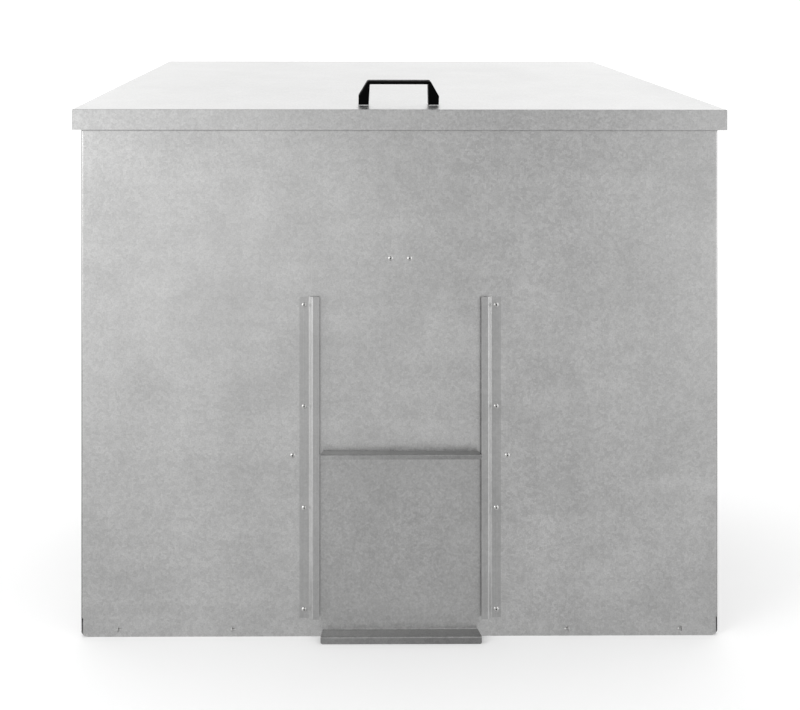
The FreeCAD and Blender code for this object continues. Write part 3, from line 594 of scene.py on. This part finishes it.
def handle_outline(width, rise):
    """The bridge seen from the front: sloping shoulders over two feet, and the arch."""
    half = width/2
    foot = half - FOOT_WIDTH
    right = [
        (foot, 0, 0),
        (half, 0, 0),
        (half, SHOULDER, SHOULDER_ROUND),
        (TOP_WIDTH/2, rise, TOP_ROUND),
    ]
    left = [(-x, z, radius) for x, z, radius in reversed(right)]
    inner = foot - LEG_TAPER
    arch = [(-inner, rise - BAR, ARCH_ROUND), (inner, rise - BAR, ARCH_ROUND)]
    return rounded(right + left + arch)


def handle_rings(front, back):
    """Each (inset, y) of the outline from front to back, with rounded edges."""
    rings = []
    for k in range(EDGE_STEPS + 1):
        angle = math.pi/2*k/EDGE_STEPS
        depth = HANDLE_EDGE*(1 - math.sin(angle))
        rings.append((depth, front + HANDLE_EDGE*(1 - math.cos(angle))))
    return rings + [(depth, front + back - y) for depth, y in reversed(rings)]


def make_handle(material):
    """A moulded bridge with sloping shoulders and rounded corners and edges."""
    tilt = Matrix.Rotation(lid_slope(), 4, "X")
    level = [tilt.inverted() @ vert.co for vert in NODES["lid_handle"].data.vertices]
    low = Vector([min(place[axis] for place in level) for axis in (X, Y, Z)])
    high = Vector([max(place[axis] for place in level) for axis in (X, Y, Z)])
    outline = handle_outline(high.x - low.x, high.z - low.z)
    middle = (low.x + high.x)/2

    made = bmesh.new()
    loops = []
    for depth, y in handle_rings(low.y, high.y):
        loops.append([
            made.verts.new(tilt @ Vector((middle + x, y, low.z + z)))
            for x, z in inset(outline, depth)
        ])
    for first, second in zip(loops, loops[1:]):
        for i in range(len(outline)):
            j = (i + 1) % len(outline)
            made.faces.new((first[i], first[j], second[j], second[i]))
    made.faces.new(loops[0])
    made.faces.new(loops[-1])
    names = ("lid", "black_plastic", "lid_handle")
    finish_piece("lid_handle_moulded", made, [material], *names)


# The camera


IMAGE_WIDTH = 800
IMAGE_MIDDLE = (400, 355)
SENSOR = 36.0
FOCAL_PIXELS = 823.6
CAMERA_PLACE = (-0.0830, -1.6454, 0.6307)
CAMERA_YAW = math.radians(-0.328)
VANISHING_POINT = (352.17, 235.15)
FAR = 200  # the camera sees the floor to its edges


def make_camera():
    """Level and nearly square to the front, with the shift that the framing needs."""
    data = bpy.data.cameras.new("camera")
    data.sensor_width = SENSOR
    data.lens = FOCAL_PIXELS/IMAGE_WIDTH*SENSOR
    data.shift_x = (IMAGE_MIDDLE[0] - VANISHING_POINT[0])/IMAGE_WIDTH
    data.shift_y = (VANISHING_POINT[1] - IMAGE_MIDDLE[1])/IMAGE_WIDTH
    data.clip_end = FAR
    camera = bpy.data.objects.new("camera", data)
    camera.location = CAMERA_PLACE
    camera.rotation_euler = (math.pi/2, 0, CAMERA_YAW)
    bpy.context.scene.collection.objects.link(camera)
    bpy.context.scene.camera = camera


# The studio


WHITE = 1.2  # how bright the studio is, apart from reflections
KEY_PLACE = Vector((-2.6, -2.4, 1.8))
KEY_TARGET = Vector((0, -0.35, 0.6))
KEY_WIDTH = 1.2
KEY_POWER = 22
FLOOR_HALF_WIDTH = 40
FLOOR_DROP = 0.2*MM


def make_key_light():
    """A soft light from the upper left, that isn't seen itself."""
    data = bpy.data.lights.new("key", "AREA")
    data.shape = "RECTANGLE"
    data.size = KEY_WIDTH
    data.size_y = KEY_WIDTH
    data.energy = KEY_POWER
    light = bpy.data.objects.new("key", data)
    light.location = KEY_PLACE
    light.rotation_euler = (KEY_TARGET - KEY_PLACE).to_track_quat("-Z", "Y").to_euler()
    light.visible_camera = False
    bpy.context.scene.collection.objects.link(light)


def make_surroundings():
    """A white studio, whose reflections show soft boxes at the sides, and a dim front.

    Directions are turns about Z from the front, -Y, positive towards +X, and their rise
    above level, both in degrees.
    """
    world = bpy.data.worlds.new("studio")
    world.use_nodes = True
    world.cycles.sampling_method = "NONE"
    bpy.context.scene.world = world
    net = Net(world.node_tree)
    x, y, z = net.parts(net.add("ShaderNodeTexCoord").outputs["Generated"])
    turn = net.math("ARCTAN2", x, net.math("MULTIPLY", y, -1.0))
    aside = net.math("ABSOLUTE", turn)

    def ramp(value, low, high, start, end):
        """Goes from low to high as value, a turn, goes from start to end."""
        limits = math.radians(start), math.radians(end)
        return net.between(value, low, high, *limits, "SMOOTHSTEP")

    def rising(low, high, start, end):
        """Goes from low to high as the rise goes from start to end."""
        limits = math.sin(math.radians(start)), math.sin(math.radians(end))
        return net.between(z, low, high, *limits, "SMOOTHSTEP")

    # The studio is dim ahead of the bunker, and bright behind it.
    ahead = net.product(ramp(aside, 0.545, 0.85, 35, 75), rising(0.85, 1.0, -30, 5))
    behind = net.product(ramp(aside, 1.5, 1.4, 158, 178), rising(0.92, 1.16, 19, 31))
    to_behind = net.between(aside, 1.0, behind, math.radians(100), math.radians(150))
    around = net.product(ahead, to_behind)

    # The soft boxes add to it.
    left_box = net.product(
        ramp(turn, 0.5, 0.0, -15, 13),
        ramp(turn, 0.0, 1.0, -90, -50),
        rising(0.2, 1.0, -21, -3),
        rising(1.0, 0.84, 3, 14),
    )
    right_box = net.product(
        ramp(turn, 0.0, 0.45, 17, 27),
        ramp(turn, 1.0, 0.0, 50, 90),
        rising(0.15, 1.0, -20, 0),
    )
    side_boxes = net.product(
        ramp(aside, 0.0, 0.8, 40, 58),
        ramp(aside, 1.0, 0.0, 72, 90),
        rising(0.3, 1.0, -20, 5),
    )

    # Its front is dimmer high up, with a dark patch a little to the right.
    dim_above_front = net.math(
        "MAXIMUM", rising(1.0, 0.72, 9, 22), ramp(aside, 0.72, 1.0, 40, 70),
    )
    in_dark_patch = net.product(
        ramp(turn, 0.0, 1.0, 6, 13),
        ramp(turn, 1.0, 0.0, 18, 25),
        rising(0.0, 1.0, 1, 12),
    )
    overhead = rising(1.0, 0.5, 40, 70)
    mirrored = net.product(
        net.total(around, left_box, right_box, side_boxes),
        dim_above_front,
        net.between(in_dark_patch, 1.0, 0.42),
        overhead,
    )
    glossy = net.add("ShaderNodeLightPath").outputs["Is Glossy Ray"]
    level = net.math("MULTIPLY_ADD", glossy, net.math("SUBTRACT", mirrored, WHITE), WHITE)
    background = net.tree.nodes["Background"]
    net.join(level, background.inputs["Strength"])
    net.join((1, 1, 1, 1), background.inputs["Color"])


def make_floor():
    look = Look("pale_floor")
    tone = look.between(look.noise(0.8), 0.91, 0.93, *NOISE_RANGE)
    look.set(Base_Color=look.grey(tone), Roughness=0.9)
    made = bmesh.new()
    bmesh.ops.create_grid(made, x_segments=2, y_segments=2, size=FLOOR_HALF_WIDTH)
    floor = bpy.data.objects.new("floor", as_mesh("floor", made, [look.material]))
    floor.location.z = -FLOOR_DROP
    floor.visible_glossy = False
    bpy.context.scene.collection.objects.link(floor)


def make_studio():
    bpy.context.scene.view_settings.view_transform = "Standard"
    make_surroundings()
    make_floor()
    make_key_light()


# The bunker


OUTER_ZINC = {"tone": 0.62, "roughness": 0.36}
HATCH_ZINC = {"tone": 0.525, "roughness": 0.38}
RAIL_ZINC = {"tone": 0.52, "roughness": 0.34}
INNER_ZINC = {"tone": 0.58, "roughness": 0.38}


def dress_walls():
    """The walls, with painted shade in the seams at the body's corners, and on the corner
    folds low down.
    """
    # Painted shade: the folded-back flanges at the corner seams go to a quarter of their tone.
    flange_seam_shade = (0.25, ("normal", X, 0.75, 0.85))
    # Painted shade: the corner folds go darker below about half height.
    low_fold_shade = (
        0.4,
        ("normal", X, 0.3, 0.5),
        ("normal", X, 0.9, 0.8),
        ("place", Z, 560*MM, 420*MM),
    )
    walls = galvanised("zinc_walls", **OUTER_ZINC, shaded=[flange_seam_shade, low_fold_shade])
    dress(walls, "front_panel", "back_panel")
    # The sheet's edges that face the front go near black: partly the dull raw cut edge, partly
    # painted shade in the seam.
    cut_edge_and_seam_shade = (0.2, ("normal", Y, 0.85, 0.95))
    sides = galvanised("zinc_sides", **OUTER_ZINC, clouds=0.02, shaded=[cut_edge_and_seam_shade])
    dress(sides, "left_side_panel", "right_side_panel")


def dress_hatch():
    """The hatch, with its grip and its foot. Painted shade darkens its shelves and lips, more
    so to the right, and painted light brightens its face just above the foot.
    """
    # Painted shade: the shelves and lips of the grip and the foot go darker, and darker still
    # to the right.
    shelf = (("normal", Z, 0.8, 0.95),)
    lip = (("place", Y, -373*MM, -375*MM), ("normal", Y, 0.8, 0.95))
    at_grip = ("place", Z, 100*MM, 110*MM)
    at_foot = ("place", Z, 13*MM, 11*MM)
    to_right = ("place", X, -110*MM, 60*MM)
    # Painted light: the face just above the foot's shelf goes brighter.
    foot_of_face_light = (("place", Z, 29*MM, 15*MM), ("place", Z, 12*MM, 13.5*MM))
    shaded = [
        (0.935, *shelf),
        (0.73, *shelf, to_right),
        (0.92, *lip, at_grip),
        (0.7, *lip, at_grip, to_right),
        (0.68, *lip, at_foot),
        (0.76, *lip, at_foot, to_right),
        (1.35, *foot_of_face_light),
    ]
    dress(galvanised("zinc_hatch", **HATCH_ZINC, clouds=0.02, shaded=shaded), "hatch_plate")


def dress_rails():
    """The rails, with a painted highlight on their sloping webs above the foot."""
    # Painted highlight: the sloping webs go brighter above the foot.
    web_highlight = (1.23, ("normal", X, 0.5, 0.65), ("place", Z, 80*MM, 125*MM))
    rails = galvanised(
        "zinc_rails", **RAIL_ZINC, clouds=0.02, grain=0.04, rolled=0.05, shaded=[web_highlight],
    )
    dress(rails, "left_rail", "right_rail")


def make_bunker():
    dress_walls()
    lid = galvanised("zinc_lid", **OUTER_ZINC, clouds=0.012, grain=0.065, relief=0.08)
    dress(lid, "lid_panel")
    dress_hatch()
    dress_rails()
    inner = galvanised("zinc_inner", **INNER_ZINC)
    dress(inner, "floor_panel", "coal_baffle", "tie_bar", "lid_stiffener")
    hinge = plated("plated_hinges", tone=0.5, roughness=0.3)
    for side in ("left", "right"):
        for piece in ("lower_leaf", "upper_leaf", "pin"):
            dress(hinge, f"{side}_hinge_{piece}")
    make_handle(plastic(
        "black_nylon", tone=0.001, roughness=0.5, gloss=0.045, grain_depth=0.03*MM,
    ))
    pads = plastic("pale_nylon", tone=0.6, roughness=0.55, gloss=0.4, grain_depth=0.02*MM)
    dress(pads, "handle_pads")
    screw_metal = plated("plated_screws", tone=0.5, roughness=0.36)
    dress(screw_metal, "handle_washers")
    # Near black, for recesses and mandrel holes: painted shade, and partly the mandrel's
    # darker steel.
    hole = plated("recess_shade_and_dark_steel", tone=0.06, roughness=0.6)
    make_fasteners(plated("rivet_metal", tone=0.56, roughness=0.27), screw_metal, hole)


make_camera()
make_studio()
make_bunker()
